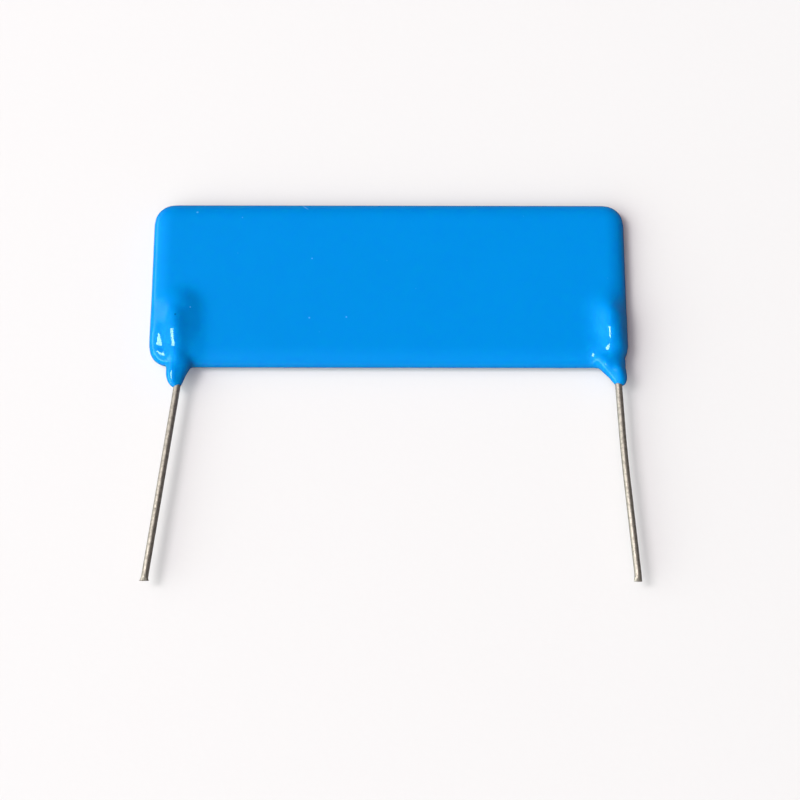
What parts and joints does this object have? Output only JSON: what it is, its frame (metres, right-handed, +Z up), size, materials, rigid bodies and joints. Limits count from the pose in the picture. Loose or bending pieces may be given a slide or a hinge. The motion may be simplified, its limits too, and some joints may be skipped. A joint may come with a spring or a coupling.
{
  "type": "high-voltage resistor",
  "caption": "Flat high-voltage resistor: printed alumina plate with soldered wire leads, dipped in glossy blue epoxy with a swelling over each lead and a drip where it comes out.",
  "frame": {"origin": "middle of the flat back of the epoxy, on the surface that it lies on", "axes": "+X along the long side, towards the right lead; -Y the way the leads leave; +Z up, out of the face with the swellings"},
  "size_m": [0.0561, 0.0457, 0.0035],
  "materials": {
    "blue_epoxy": "gloss",
    "alumina": "satin",
    "silver_film": "satin",
    "resistor_film": "satin",
    "green_glaze": "gloss",
    "solder": "satin",
    "tinned_wire": "satin"
  },
  "bodies": {
    "root": {"coating": "blue_epoxy", "substrate": "alumina", "left_termination": "silver_film", "right_termination": "silver_film", "resistor_track": "resistor_film", "overglaze": "green_glaze", "left_solder": "solder", "right_solder": "solder", "left_lead": "tinned_wire", "right_lead": "tinned_wire"}
  },
  "joints": []
}
